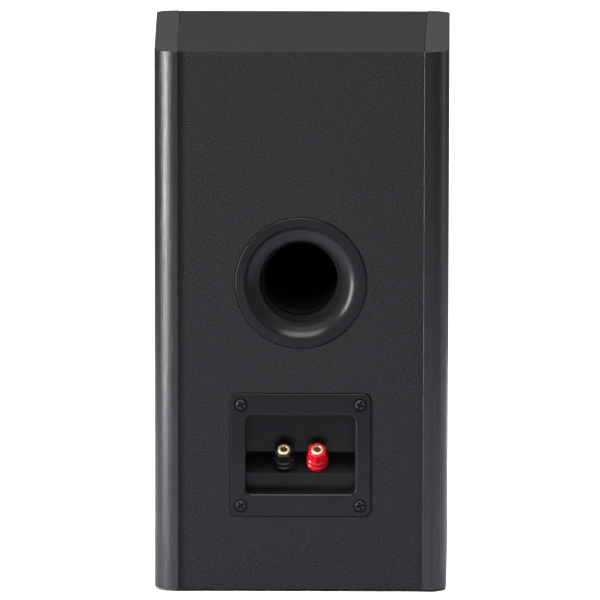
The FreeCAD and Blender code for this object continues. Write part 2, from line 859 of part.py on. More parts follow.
def solder_tags():
    """Flat tags between the ledge and the nuts, with an eye for the lead."""
    tag = new_body("solder_tag_master")
    high = -size("recess_wall") - 0.05
    low = high - 0.8
    slab(tag, "blade", "XY_Plane", low, high, rectangle(-2.0, -14.0, 2.0, 0.0))
    disc(tag, "eye", "XY_Plane", low, high, [(0, 0, size("post_radius") + 1.8)])
    disc(tag, "bore", "XY_Plane", low - 1, high + 1,
         [(0, 0, size("post_radius") + 0.02)], kind="Pocket")
    return group("solder_tags", tag, mirrored_places(post_x, post_y, post_z), [POST_TURN, POST_TURN])


# ---------------------------------------------------------------- woofer

def woofer_body(name):
    return new_body(name, y=baffle_face, z=size("woofer_height"))


def driver_part(name, body, corners, arcs=None):
    """A driver's part turned about its axis. Corners are (depth behind the baffle, radius)."""
    turned(body, "turned", "YZ_Plane", "H_Axis", corners, arcs)
    return keep(body, name)


def woofer_basket():
    """The stamped frame with a rebated landing for the roll and six windows."""
    body = woofer_body("woofer_basket")
    rim = size("woofer_radius")
    flange = size("woofer_flange")
    turned(body, "frame", "YZ_Plane", "H_Axis", [
        (0, 59),
        (0, rim),
        (flange, rim),
        (flange, 60),
        (31, 43),
        (35, 41),
        (40, 41),
        (40, 20),
        (38, 20),
        (38, 36.5),
        (32.5, 36.5),
        (32.5, 39.5),
        (30, 41),
        (4.7, 57.3),
        (4.7, 55.5),
        (2.2, 55.5),
        (2.2, 59),
    ])
    window = new_sketch(body, "window_outline", "XZ_Plane", 18)
    spread = math.radians(19)
    reach = [(44.5, -spread), (58.5, -spread), (58.5, spread), (44.5, spread)]
    outline(window, [(radius * math.cos(turn), radius * math.sin(turn)) for radius, turn in reach])
    opening = extrude(body, window, "Pocket", "window", 22)
    windows = body.newObject("PartDesign::PolarPattern", "windows")
    windows.Originals = [opening]
    windows.Axis = (window, ["N_Axis"])
    windows.Angle = 360
    windows.Occurrences = 6
    body.Tip = windows
    disc(body, "screw_holes", "XZ_Plane", -1, flange + 1,
         [(x, z - size("woofer_height"), size("screw_shank_radius") + 0.3)
          for x, z in woofer_screw_spots()], kind="Pocket")
    return keep(body, "woofer_basket")


def woofer_motor():
    """Front plate, ferrite ring, and back plate with its vented pole."""
    coil = size("coil_radius")
    driver_part("woofer_top_plate", woofer_body("woofer_top_plate"),
                [(40, coil + 1.2), (46, coil + 1.2), (46, 40), (40, 40)])
    driver_part("woofer_magnet", woofer_body("woofer_magnet"),
                [(46, 22), (61, 22), (61, 42), (46, 42)])
    driver_part("woofer_back_plate", woofer_body("woofer_back_plate"), [
        (40, 4),
        (67, 4),
        (67, 37),
        (66, 38),
        (61, 38),
        (61, coil - 0.3),
        (40, coil - 0.3),
    ])


def woofer_moving_parts():
    """Cone, dust cap and coil, which move as one, with the roll and spider that carry them."""
    coil = size("coil_radius")
    edge = size("cone_radius")
    roll = size("roll_outer")
    driver_part("woofer_cone", woofer_body("woofer_cone"), [
        (29, coil + 0.5),
        (2.7, edge),
        (2.2, edge - 0.2),
        (28, coil + 0.5),
    ])
    crown_flat = 1.0
    cap_edge = 15.5
    cap_rise = 5.0
    cap_round = (cap_edge * cap_edge + cap_rise * cap_rise) / (2 * cap_rise)
    cap_depth = 26.0
    cap_top = cap_depth - cap_rise
    driver_part("woofer_dust_cap", woofer_body("woofer_dust_cap"), [
        (cap_depth, cap_edge),
        (cap_top, crown_flat),
        (cap_top, 0),
        (cap_top + 0.6, 0),
        (cap_top + 0.6, crown_flat),
        (cap_depth + 0.3, cap_edge - 0.6),
    ], {0: cap_round, 4: -cap_round})
    driver_part("woofer_voice_coil", woofer_body("woofer_voice_coil"), [
        (28, coil),
        (49, coil),
        (49, coil + 0.8),
        (38, coil + 0.8),
        (38, coil + 0.45),
        (28, coil + 0.45),
    ])
    inner = edge + 0.7
    driver_part("woofer_surround", woofer_body("woofer_surround"), [
        (2.1, inner - 3),
        (1.3, inner - 3),
        (1.3, inner),
        (1.3, roll),
        (1.3, roll + 3),
        (2.1, roll + 3),
        (2.1, roll - 0.8),
        (2.1, inner + 0.8),
    ], {2: -4.0, 6: 3.3})
    spider = []
    waves = 7
    pitch = (36.0 - coil.number - 0.5) / waves
    for step in range(waves + 1):
        spider.append((30.8 + 1.0 * (step % 2), coil + 0.5 + pitch * step))
    flat_edge = [(31.7, coil + 0.5 + pitch * waves + 2.6), (32.4, coil + 0.5 + pitch * waves + 2.6)]
    back = [(depth + 0.6, radius) for depth, radius in reversed(spider)]
    driver_part("woofer_spider", woofer_body("woofer_spider"), spider + flat_edge + back)


def woofer_terminals():
    """The tag strip on the side of the basket."""
    body = new_body("woofer_terminals", y=baffle_face, z=size("woofer_height"))
    slab(body, "strip", "XY_Plane", -47, -44, rectangle(-11, 34.5, 11, 41))
    for word, x in (("left", -6), ("right", 6)):
        slab(body, f"{word}_tag", "XY_Plane", -46, -45.2, rectangle(x - 1.6, 40, x + 1.6, 48))
    return keep(body, "woofer_terminals")


def driver_screws(name, spots, seat):
    """Screws with their heads towards the listener."""
    screw = screw_master(f"{name}_master", size("screw_length") - 2)
    places = [(x, baffle_face + seat, z) for x, z in spots]
    facing = Rotation(Vector(1, 0, 0), 90)
    return group(name, screw, places, [facing for _ in places])


# ---------------------------------------------------------------- tweeter

def tweeter_body(name):
    return new_body(name, y=baffle_face, z=size("tweeter_height"))


def tweeter_parts():
    dome = size("dome_radius")
    plate = tweeter_body("tweeter_faceplate")
    turned(plate, "disc", "YZ_Plane", "H_Axis", [
        (0, 30),
        (0, size("tweeter_radius") - 0.5),
        (0.5, size("tweeter_radius")),
        (3, size("tweeter_radius")),
        (3, 18),
        (2.2, 18),
        (2.2, 17),
    ])
    disc(plate, "screw_holes", "XZ_Plane", -1, 4,
         [(x, z - size("tweeter_height"), size("screw_shank_radius") + 0.3)
          for x, z in tweeter_screw_spots()], kind="Pocket")
    keep(plate, "tweeter_faceplate")
    driver_part("tweeter_top_plate", tweeter_body("tweeter_top_plate"),
                [(3.1, dome + 1.0), (7, dome + 1.0), (7, 36), (3.1, 36)])
    driver_part("tweeter_magnet", tweeter_body("tweeter_magnet"),
                [(7, 18), (17, 18), (17, 36), (7, 36)])
    driver_part("tweeter_back_plate", tweeter_body("tweeter_back_plate"), [
        (3.4, 2.5),
        (21, 2.5),
        (21, 33),
        (17, 33),
        (17, dome - 0.4),
        (3.4, dome - 0.4),
    ])
    rise = 6.2
    crown_flat = 0.8
    ball = (dome * dome + rise * rise) / (2 * rise)
    driver_part("tweeter_dome", tweeter_body("tweeter_dome"), [
        (2.4, dome),
        (2.4 - rise, crown_flat),
        (2.4 - rise, 0),
        (2.8 - rise, 0),
        (2.8 - rise, crown_flat),
        (2.7, dome - 0.4),
        (2.8, dome + 0.6),
        (2.8, dome + 4.4),
        (2.4, dome + 4.4),
        (2.4, dome + 3.6),
        (2.4, dome + 0.6),
    ], {0: ball, 4: -ball, 9: 1.7})
    driver_part("tweeter_voice_coil", tweeter_body("tweeter_voice_coil"),
                [(2.85, dome), (6.6, dome), (6.6, dome + 0.5), (2.85, dome + 0.5)])
    tags = tweeter_body("tweeter_terminals")
    slab(tags, "strip", "XY_Plane", -37.2, -36.1, rectangle(-9, 8, 9, 15))
    for word, x in (("left", -5), ("right", 5)):
        slab(tags, f"{word}_tag", "XY_Plane", -37.0, -36.2, rectangle(x - 1.4, 14, x + 1.4, 21.5))
    keep(tags, "tweeter_terminals")


# ---------------------------------------------------------------- grille

grille_back = baffle_face - size("grille_rear_gap")
grille_front = shell_front + size("cloth_thick") + 0.2
grille_half = rear_inner + (baffle_face - rear_end) * -taper - size("grille_gap")
grille_low = floor_inside + size("grille_gap")
grille_high = roof_inside - size("grille_gap")


def grille_frame():
    """The frame that the cloth is stretched over, with rounded inner edges."""
    body = new_body("grille_frame")
    rail = size("grille_rail")
    slab(body, "board", "XZ_Plane", grille_front, grille_back,
         rectangle(-grille_half, grille_low, grille_half, grille_high))
    slab(body, "opening", "XZ_Plane", grille_front - 1, grille_back + 1,
         rectangle(-grille_half + rail, grille_low + rail + 5,
                   grille_half - rail, grille_high - rail - 5), kind="Pocket")
    disc(body, "peg_holes", "XZ_Plane", grille_back - 4, grille_back + 4,
         [(x, z, size("peg_radius") + 0.02) for x, z in peg_spots()], kind="Pocket")
    return keep(body, "grille_frame")


def grille_cloth():
    """The cloth over the front and the outer sides of the frame."""
    body = new_body("grille_cloth")
    skin = size("cloth_thick")
    grow = skin + 0.1
    back = grille_back - 0.2
    slab(body, "skin", "XZ_Plane", grille_front - grow, back,
         rectangle(-grille_half - grow, grille_low - grow, grille_half + grow, grille_high + grow))
    slab(body, "inside", "XZ_Plane", grille_front - 0.1, back + 1,
         rectangle(-grille_half - 0.1, grille_low - 0.1, grille_half + 0.1, grille_high + 0.1),
         kind="Pocket")
    return keep(body, "grille_cloth")


def grille_pegs():
    peg = new_body("peg_master")
    radius = size("peg_radius")
    length = size("peg_length")
    turned(peg, "pin", "XZ_Plane", "V_Axis", [
        (0, -3.8),
        (radius, -3.8),
        (radius, length - 1.5),
        (radius - 1.2, length),
        (0, length),
    ])
    facing = Rotation(Vector(1, 0, 0), -90)
    places = [(x, grille_back, z) for x, z in peg_spots()]
    return group("grille_pegs", peg, places, [facing for _ in places])


def peg_cups():
    """The blind plastic sockets pressed into the baffle."""
    cup = new_body("cup_master")
    radius = size("peg_radius")
    deep = size("peg_length") + 1
    turned(cup, "cup", "XZ_Plane", "V_Axis", [
        (radius + 0.15, 0),
        (radius + 1.35, 0),
        (radius + 1.35, deep + 1),
        (0, deep + 1),
        (0, deep),
        (radius + 0.15, deep),
    ])
    facing = Rotation(Vector(1, 0, 0), -90)
    places = [(x, baffle_face, z) for x, z in peg_spots()]
    return group("grille_peg_cups", cup, places, [facing for _ in places])


# ---------------------------------------------------------------- crossover and wadding

board_low = floor_inside + size("standoff_tall")
board_top = board_low + size("board_thick")


def crossover_board():
    body = new_body("crossover_board")
    half = size("board_half_width")
    slab(body, "board", "XY_Plane", board_low, board_top,
         rectangle(-half, size("board_front"), half, size("board_rear")))
    disc(body, "screw_holes", "XY_Plane", board_low - 1, board_top + 1,
         [(x, y, size("screw_shank_radius") + 0.2) for x, y in board_screw_spots()], kind="Pocket")
    return keep(body, "crossover_board")


def crossover_fixings():
    standoff = new_body("standoff_master")
    bore = size("screw_shank_radius") + 0.1
    tall = size("standoff_tall")
    turned(standoff, "sleeve", "XZ_Plane", "V_Axis", [(bore, 0), (3.6, 0), (3.6, tall), (bore, tall)])
    group("crossover_standoffs", standoff, [(x, y, floor_inside) for x, y in board_screw_spots()])
    screw = screw_master("crossover_screw_master", size("screw_length") + 1)
    group("crossover_screws", screw, [(x, y, board_top) for x, y in board_screw_spots()])


def wound_coil(name, x, y, outer, inner, tall):
    """An air-core inductor standing on the board."""
    body = new_body(name, x, y, board_top)
    turned(body, "winding", "XZ_Plane", "V_Axis", [
        (inner, 0),
        (outer - 1, 0),
        (outer, 1),
        (outer, tall - 1),
        (outer - 1, tall),
        (inner, tall),
    ])
    return keep(body, name)


def crossover_components():
    wound_coil("woofer_inductor", -30, 18, 19.5, 9.0, 18)
    wound_coil("tweeter_inductor", 33, 14, 12.5, 6.5, 12)
    capacitor = new_body("capacitor_master")
    turned(capacitor, "can", "YZ_Plane", "H_Axis", [
        (-15, 0), (-15, 6), (-14, 7), (14, 7), (15, 6), (15, 0),
    ])
    sideways = Rotation(Vector(0, 0, 1), 90)
    lift = board_top + 7.02
    places = [(-28, 45.5, lift), (-28, 60.5, lift)]
    group("film_capacitors", capacitor, places, [sideways, sideways])
    resistor = new_body("cement_resistor", 38, 42, board_top)
    slab(resistor, "block", "XY_Plane", 0, 9, rectangle(-15, -4.5, 15, 4.5))
    keep(resistor, "cement_resistor")


def wadding(name, side):
    """A batt of fibre against one side wall, behind the brace."""
    body = new_body(name)
    batt = slab(body, "batt", "XY_Plane", 62, 272, [
        (side * 52, 36),
        (side * 70, 36),
        (side * 69.2, 86),
        (side * 52, 86),
    ])
    soften(body, "soft_edges", batt, 5, lambda edge: runs_along(edge, "z"))
    return keep(body, name)


# ---------------------------------------------------------------- leads

def lead_path(points):
    """Straight runs joined by tangent arcs, as edges, with the arcs' radii."""
    edges = []
    radii = []
    here = points[0]
    for before, corner, after in zip(points, points[1:], points[2:]):
        arrive = (corner - before).normalize()
        leave = (after - corner).normalize()
        turn = arrive.getAngle(leave)
        cut = 0.45 * min((corner - before).Length, (after - corner).Length)
        radius = cut / math.tan(turn / 2)
        start = corner - arrive * cut
        end = corner + leave * cut
        toward = (leave - arrive).normalize()
        centre = corner + toward * (radius / math.cos(turn / 2))
        middle = centre - toward * radius
        edges.append(Part.LineSegment(here, start).toShape())
        edges.append(Part.Arc(start, middle, end).toShape())
        radii.append(radius)
        here = end
    edges.append(Part.LineSegment(here, points[-1]).toShape())
    return edges, radii


def lead(points):
    """One insulated wire as a round tube along its path."""
    edges, radii = lead_path([Vector(*point) for point in points])
    radius = size("lead_radius").number
    wire = Part.Wire(edges)
    start = Vector(*points[0])
    heading = (Vector(*points[1]) - start).normalize()
    section = Part.Wire([Part.Circle(start, heading, radius).toShape()])
    tube = wire.makePipeShell([section], True, False)
    expected = math.pi * radius * radius * wire.Length
    print(f"lead length {wire.Length:.1f} mm, volume ratio {tube.Volume / expected:.4f},",
          "radii", [round(value, 1) for value in radii])
    return tube


def lead_pair(name, routes):
    pair = doc.addObject("Part::Feature", name)
    pair.Shape = Part.makeCompound([lead(route) for route in routes])
    pair.Placement = Placement(Vector(0, 0, 0), Rotation())
    return keep(pair, name)


def leads():
    top = board_top.number + 1.2
    tag_y = post_y.number - 12.9
    tag_z = post_z.number + 7.2
    input_routes = []
    woofer_routes = []
    tweeter_routes = []
    for side in (-1, 1):
        x = side * post_x.number
        input_routes.append([
            (x, tag_y, tag_z),
            (x, tag_y - 9, tag_z + 8),
            (x * 1.05, tag_y - 21, tag_z + 5),
            (x * 1.1, tag_y - 28, tag_z - 9),
            (x * 1.1, tag_y - 29, tag_z - 26),
            (x * 1.0, tag_y - 27, tag_z - 41),
            (x * 1.0, tag_y - 27, top),
        ])
    for x, tag in ((-8, -6), (-2, 6)):
        woofer_routes.append([
            (tag, -46.8, 57.4),
            (tag, -38, 56),
            ((tag + x) / 2, -26, 50),
            (x, -14, 42.5),
            (x, -4, 38),
            (x + 0.5, 0, top),
        ])
    for x, tag in ((6, -5), (13, 5)):
        tweeter_routes.append([
            (tag, -73.3, 194.4),
            (tag, -62, 194),
            ((tag + x) / 2, -44, 186),
            (x, -28, 172),
            (x + 1, -18, 150),
            (x, -16, 118),
            (x + 0.5, -16.5, 86),
            (x, -14, 60),
            (x + 0.5, -6, 42),
            (x + 1, 4, top),
        ])
    lead_pair("input_leads", input_routes)
    lead_pair("woofer_leads", woofer_routes)
    lead_pair("tweeter_leads", tweeter_routes)


# ---------------------------------------------------------------- assembly

def build_everything():
    side_panel("side_panel_right", 1)
    side_panel("side_panel_left", -1)
    top_panel()
    bottom_panel()
    back_panel()
    front_baffle()
    window_brace()
    rubber_feet()
    port_flare()
    port_tube()
    terminal_cup()
    terminal_gasket()
    terminal_screws()
    for colour, side, turn in (("black", 1, 2), ("red", -1, 24)):
        post_core(f"post_core_{colour}", side)
        post_collar(f"post_collar_{colour}", side)
        clamp_washer(f"clamp_washer_{colour}", side)
        post_cap(f"post_cap_{colour}", side, turn)
    post_nuts()
    solder_tags()
    woofer_basket()
    woofer_motor()
    woofer_moving_parts()
    woofer_terminals()
    driver_screws("woofer_screws", woofer_screw_spots(), 0.0)
    tweeter_parts()
    driver_screws("tweeter_screws", tweeter_screw_spots(), 0.0)
    grille_frame()
    grille_cloth()
    grille_pegs()
    peg_cups()
    crossover_board()
    crossover_fixings()
    crossover_components()
    wadding("wadding_right", 1)
    wadding("wadding_left", -1)
    leads()


def check_everything():
    doc.recompute()
    for item in doc.Objects:
        if "Invalid" in item.State or "Error" in item.State:
            raise RuntimeError(f"{item.Label} failed: {item.State}")
    for node in nodes:
        if node.Shape.isNull() or not node.Shape.isValid():
            raise RuntimeError(f"{node.Label} has no valid shape")
        if not node.Shape.Solids:
            raise RuntimeError(f"{node.Label} has no solid")


build_everything()
check_everything()
os.makedirs("parts", exist_ok=True)
for node in nodes:
    node.Shape.exportStep(f"parts/{node.Label}.step")
print(len(nodes), "nodes written")
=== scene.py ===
import json
import math
import random

import bmesh
import bpy
from mathutils import Matrix, Vector, noise

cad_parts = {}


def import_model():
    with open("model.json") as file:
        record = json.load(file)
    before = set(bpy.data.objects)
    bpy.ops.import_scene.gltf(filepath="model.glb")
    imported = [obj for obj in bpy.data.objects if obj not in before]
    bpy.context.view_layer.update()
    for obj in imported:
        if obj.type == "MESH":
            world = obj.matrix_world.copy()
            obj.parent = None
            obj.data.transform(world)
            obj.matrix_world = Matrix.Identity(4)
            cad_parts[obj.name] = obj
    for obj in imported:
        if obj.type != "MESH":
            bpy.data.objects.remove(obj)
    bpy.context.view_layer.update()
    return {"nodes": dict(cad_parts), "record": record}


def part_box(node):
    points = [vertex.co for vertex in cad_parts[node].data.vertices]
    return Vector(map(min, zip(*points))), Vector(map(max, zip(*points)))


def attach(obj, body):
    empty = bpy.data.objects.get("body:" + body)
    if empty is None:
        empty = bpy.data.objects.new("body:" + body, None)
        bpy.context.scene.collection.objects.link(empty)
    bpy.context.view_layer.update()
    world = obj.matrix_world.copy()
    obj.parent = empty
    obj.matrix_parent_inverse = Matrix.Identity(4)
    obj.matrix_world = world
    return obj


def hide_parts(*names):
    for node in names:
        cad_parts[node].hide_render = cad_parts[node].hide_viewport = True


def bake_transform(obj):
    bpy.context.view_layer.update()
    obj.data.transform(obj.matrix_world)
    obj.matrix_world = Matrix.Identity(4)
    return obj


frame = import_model()
nodes = frame["nodes"]


# ---------------------------------------------------------------- node helpers

class Shader:
    """A material under construction: short calls that add and link its nodes."""

    def __init__(self, name):
        self.material = bpy.data.materials.new(name)
        self.material.use_nodes = True
        self.tree = self.material.node_tree
        self.surface = self.tree.nodes["Principled BSDF"]
        self.place = self.add("ShaderNodeTexCoord").outputs["Object"]

    def add(self, kind, **settings):
        node = self.tree.nodes.new(kind)
        for name, value in settings.items():
            setattr(node, name, value)
        return node

    def link(self, source, target):
        self.tree.links.new(source, target)

    def put(self, socket, value):
        """Sets a socket, or links it when the value is another node's output."""
        if isinstance(value, bpy.types.NodeSocket):
            self.link(value, socket)
        else:
            socket.default_value = value

    def stretched(self, scale):
        """Object coordinates in metres, scaled along each axis."""
        mapping = self.add("ShaderNodeMapping")
        self.link(self.place, mapping.inputs["Vector"])
        mapping.inputs["Scale"].default_value = scale
        return mapping.outputs["Vector"]

    def noise(self, scale, stretch=(1, 1, 1), detail=4.0, roughness=0.55):
        node = self.add("ShaderNodeTexNoise")
        self.link(self.stretched(stretch), node.inputs["Vector"])
        node.inputs["Scale"].default_value = scale
        node.inputs["Detail"].default_value = detail
        node.inputs["Roughness"].default_value = roughness
        return node.outputs["Fac"]

    def cells(self, scale, feature="F1"):
        node = self.add("ShaderNodeTexVoronoi", feature=feature)
        self.link(self.place, node.inputs["Vector"])
        node.inputs["Scale"].default_value = scale
        return node.outputs["Distance"]

    def remap(self, value, low, high, to_low, to_high):
        node = self.add("ShaderNodeMapRange")
        self.put(node.inputs["Value"], value)
        for name, number in (("From Min", low), ("From Max", high), ("To Min", to_low), ("To Max", to_high)):
            node.inputs[name].default_value = number
        return node.outputs["Result"]

    def maths(self, operation, first, second=0.0):
        node = self.add("ShaderNodeMath", operation=operation)
        self.put(node.inputs[0], first)
        self.put(node.inputs[1], second)
        return node.outputs[0]

    def blend(self, factor, first, second):
        node = self.add("ShaderNodeMix", data_type="RGBA")
        self.put(node.inputs["Factor"], factor)
        self.put(node.inputs["A"], first)
        self.put(node.inputs["B"], second)
        return node.outputs["Result"]

    def choose(self, factor, first, second):
        """One number or the other, by a factor from 0 to 1."""
        node = self.add("ShaderNodeMix", data_type="FLOAT")
        for name, value in (("Factor", factor), ("A", first), ("B", second)):
            self.put(node.inputs[name], value)
        return node.outputs["Result"]

    def bump(self, height, distance, strength=1.0):
        node = self.add("ShaderNodeBump")
        self.link(height, node.inputs["Height"])
        node.inputs["Distance"].default_value = distance
        node.inputs["Strength"].default_value = strength
        return node.outputs["Normal"]

    def finish(self, colour, roughness, metallic=0.0, normal=None, specular=0.5, **extras):
        self.put(self.surface.inputs["Base Color"], colour)
        self.put(self.surface.inputs["Roughness"], roughness)
        self.surface.inputs["Metallic"].default_value = metallic
        self.surface.inputs["Specular IOR Level"].default_value = specular
        if normal is not None:
            self.link(normal, self.surface.inputs["Normal"])
        for name, value in extras.items():
            self.surface.inputs[name.replace("_", " ")].default_value = value
        return self.material


def grey(level):
    """A cool grey."""
    return (level, level * 1.03, level * 1.12, 1.0)


# ---------------------------------------------------------------- materials

def grain_vinyl():
    """Black wood-grain wrap: pores run up the sides, and across the cut ends; the ends facing up or down are
    coloured paler, as painted light.
    """
    s = Shader("grain_vinyl_look")
    facing = s.add("ShaderNodeNewGeometry").outputs["True Normal"]
    split = s.add("ShaderNodeSeparateXYZ")
    s.link(facing, split.inputs[0])
    is_end = s.maths("GREATER_THAN", s.maths("ABSOLUTE", split.outputs["Z"]), 0.8)
    pores = s.choose(is_end,
                     s.noise(1.0, (1500, 1000, 24), detail=5.0, roughness=0.62),
                     s.noise(1.0, (40, 1400, 1400), detail=5.0, roughness=0.62))
    streaks = s.choose(is_end,
                       s.noise(1.0, (420, 300, 3.5), detail=3.0),
                       s.noise(1.0, (12, 420, 420), detail=3.0))
    tone = s.maths("ADD", s.remap(pores, 0.35, 0.68, 0.0, 0.6), s.remap(streaks, 0.35, 0.65, 0.0, 0.4))
    # Painted light: the sides take the dark range and the ends facing up or down a paler one, lit and shaded
    # copies of the same wrap.
    along = s.blend(tone, grey(0.003), grey(0.017))
    across = s.blend(tone, grey(0.026), grey(0.052))
    colour = s.blend(is_end, along, across)
    shine = s.maths("SUBTRACT",
                    s.remap(pores, 0.32, 0.68, 0.39, 0.27),
                    s.remap(streaks, 0.3, 0.7, -0.07, 0.07))
    relief = s.maths("ADD", pores, s.maths("MULTIPLY", streaks, 0.4))
    return s.finish(colour, shine, normal=s.bump(relief, 0.00019, 0.85), specular=0.72)


def smooth_vinyl():
    """Plain satin wrap on the top and bottom panels."""
    s = Shader("smooth_vinyl_look")
    fine = s.noise(2600, detail=3.0)
    cloud = s.noise(14, detail=3.0)
    colour = s.blend(s.remap(fine, 0.3, 0.7, 0.0, 1.0), grey(0.018), grey(0.026))
    shine = s.maths("ADD", s.remap(fine, 0.3, 0.7, 0.40, 0.48), s.remap(cloud, 0.3, 0.7, -0.03, 0.03))
    return s.finish(colour, shine, normal=s.bump(fine, 0.00004, 0.6), specular=0.3)


def textured_vinyl():
    """Pebbled matt wrap on the back."""
    s = Shader("textured_vinyl_look")
    pebble = s.cells(1250, "SMOOTH_F1")
    fine = s.noise(2600, detail=3.0)
    speck = s.noise(1150, detail=4.0, roughness=0.75)
    height = s.maths("ADD", s.maths("MULTIPLY", pebble, -0.8), s.maths("MULTIPLY", fine, 0.5))
    colour = s.blend(s.remap(speck, 0.42, 0.60, 0.0, 1.0), grey(0.003), grey(0.026))
    shine = s.remap(fine, 0.3, 0.7, 0.5, 0.66)
    return s.finish(colour, shine, normal=s.bump(height, 0.00026, 1.0), specular=0.24)


def moulded_black(name, dark, pale):
    """Injection-moulded plastic with a spark-eroded satin."""
    s = Shader(name)
    fine = s.noise(3400, detail=2.0)
    drift = s.noise(30, detail=3.0)
    colour = s.blend(s.remap(drift, 0.3, 0.7, 0.0, 1.0), grey(dark), grey(pale))
    shine = s.remap(fine, 0.3, 0.7, 0.23, 0.31)
    return s.finish(colour, shine, normal=s.bump(fine, 0.00003, 0.5), specular=0.28)


def painted(name, level, shine, specular=0.5, metallic=0.0, speckle=2200):
    """A plain grey finish with fine speckle, for screws, card, foam and rubber."""
    return tinted(name, grey(level), shine, specular, metallic, speckle)


def tinted(name, tint, shine, specular=0.5, metallic=0.0, speckle=2200, relief=0.00004):
    """A plain finish in one tint with fine speckle and slow drift."""
    s = Shader(name)
    fine = s.noise(speckle, detail=3.0)
    drift = s.noise(90, detail=3.0)
    mixed = s.maths("ADD", s.maths("MULTIPLY", fine, 0.6), s.maths("MULTIPLY", drift, 0.4))
    dark = tuple(channel * 0.78 for channel in tint[:3]) + (1.0,)
    pale = tuple(min(channel * 1.22, 1.0) for channel in tint[:3]) + (1.0,)
    colour = s.blend(s.remap(mixed, 0.35, 0.65, 0.0, 1.0), dark, pale)
    rough = s.remap(fine, 0.3, 0.7, shine - 0.06, shine + 0.06)
    return s.finish(colour, rough, metallic=metallic, normal=s.bump(fine, relief, 0.5), specular=specular)


def cross_head():
    """Blackened screw heads, with painted shade: the colour goes darker down in the cross, by ambient
    occlusion.
    """
    s = Shader("black_screw_look")
    fine = s.noise(1800, detail=3.0)
    cross_occlusion_for_painted_shade = s.add("ShaderNodeAmbientOcclusion", samples=8)
    cross_occlusion_for_painted_shade.inputs["Distance"].default_value = 0.0022
    unshaded_share_of_painted_shade = s.remap(cross_occlusion_for_painted_shade.outputs["AO"], 0.45, 0.85, 0.0, 1.0)
    head = s.blend(s.remap(fine, 0.3, 0.7, 0.0, 1.0), grey(0.026), grey(0.038))
    # Painted shade: where the cross recess is occluded, the colour falls to near black.
    colour = s.blend(unshaded_share_of_painted_shade, grey(0.001), head)
    return s.finish(colour, s.remap(fine, 0.3, 0.7, 0.32, 0.42), normal=s.bump(fine, 0.00002, 0.4),
                    specular=0.14)


def turned_metal(name, dark, pale, shine):
    """Plated or turned metal: fine rings of tooling and soft wear."""
    s = Shader(name)
    fine = s.noise(1600, detail=3.0)
    wear = s.noise(260, detail=4.0)
    colour = s.blend(s.remap(wear, 0.35, 0.65, 0.0, 1.0), dark, pale)
    rough = s.remap(fine, 0.3, 0.7, shine - 0.05, shine + 0.05)
    return s.finish(colour, rough, metallic=1.0, normal=s.bump(fine, 0.00002, 0.4))


def wound_wire():
    """Enamelled copper laid in close turns."""
    s = Shader("copper_wire_look")
    turns = s.noise(1.0, (600, 600, 2600), detail=2.0)
    enamel = s.noise(300, detail=3.0)
    colour = s.blend(s.remap(enamel, 0.35, 0.65, 0.0, 1.0), (0.42, 0.13, 0.045, 1), (0.70, 0.27, 0.10, 1))
    shine = s.remap(turns, 0.3, 0.7, 0.24, 0.4)
    return s.finish(colour, shine, metallic=1.0, normal=s.bump(turns, 0.0001, 0.6))


def chipped_board():
    """Raw particle board: pressed chips of several browns."""
    s = Shader("raw_board_look")
    chips = s.cells(420)
    dust = s.noise(1300, detail=4.0)
    mixed = s.maths("ADD", s.remap(chips, 0.1, 0.9, 0.0, 0.6), s.remap(dust, 0.35, 0.65, 0.0, 0.4))
    colour = s.blend(mixed, (0.20, 0.115, 0.052, 1), (0.46, 0.32, 0.18, 1))
    return s.finish(colour, 0.85, normal=s.bump(mixed, 0.00025, 0.7), specular=0.2)


def pressed_paper():
    """Coated paper cone: matted fibres under a thin damping coat."""
    s = Shader("paper_cone_look")
    fibres = s.noise(1.0, (900, 900, 900), detail=6.0, roughness=0.75)
    pulp = s.noise(160, detail=4.0)
    colour = s.blend(s.remap(pulp, 0.35, 0.65, 0.0, 1.0), grey(0.010), grey(0.024))
    shine = s.remap(fibres, 0.35, 0.65, 0.5, 0.7)
    return s.finish(colour, shine, normal=s.bump(fibres, 0.00022, 0.7), specular=0.3)


def woven(name, dark, pale, pitch, rough=0.85):
    """Plain weave: threads crossing over and under."""
    s = Shader(name)
    split = s.add("ShaderNodeSeparateXYZ")
    s.link(s.place, split.inputs[0])
    across = s.maths("SINE", s.maths("MULTIPLY", split.outputs["X"], 2 * math.pi / pitch))
    upward = s.maths("SINE", s.maths("MULTIPLY", split.outputs["Z"], 2 * math.pi / pitch))
    crossing = s.maths("MULTIPLY", across, upward)
    fuzz = s.noise(2400, detail=3.0)
    height = s.maths("ADD", crossing, s.maths("MULTIPLY", fuzz, 0.8))
    colour = s.blend(s.remap(height, -0.6, 1.4, 0.0, 1.0), dark, pale)
    return s.finish(colour, rough, normal=s.bump(height, 0.00015, 0.8), specular=0.25)


def knit_cloth():
    """Fine knitted grille cloth: small staggered loops, and slow unevenness of tension."""
    s = Shader("grille_cloth_look")
    split = s.add("ShaderNodeSeparateXYZ")
    s.link(s.place, split.inputs[0])
    across = s.maths("SINE", s.maths("MULTIPLY", split.outputs["X"], 2 * math.pi / KNIT_WALE))
    upward = s.maths("SINE", s.maths("MULTIPLY", split.outputs["Z"], 2 * math.pi / KNIT_COURSE))
    loops = s.maths("MULTIPLY", across, upward)
    fuzz = s.noise(2400, detail=3.0)
    drift = s.noise(45, detail=3.0)
    height = s.maths("ADD", loops, s.maths("MULTIPLY", fuzz, 0.8))
    level = s.maths("ADD", height, s.remap(drift, 0.3, 0.7, -0.25, 0.25))
    colour = s.blend(s.remap(level, -0.6, 1.4, 0.0, 1.0), grey(0.004), grey(0.026))
    return s.finish(colour, s.remap(fuzz, 0.3, 0.7, 0.78, 0.92), normal=s.bump(height, 0.00018, 0.8),
                    specular=0.2, Sheen_Weight=0.12)


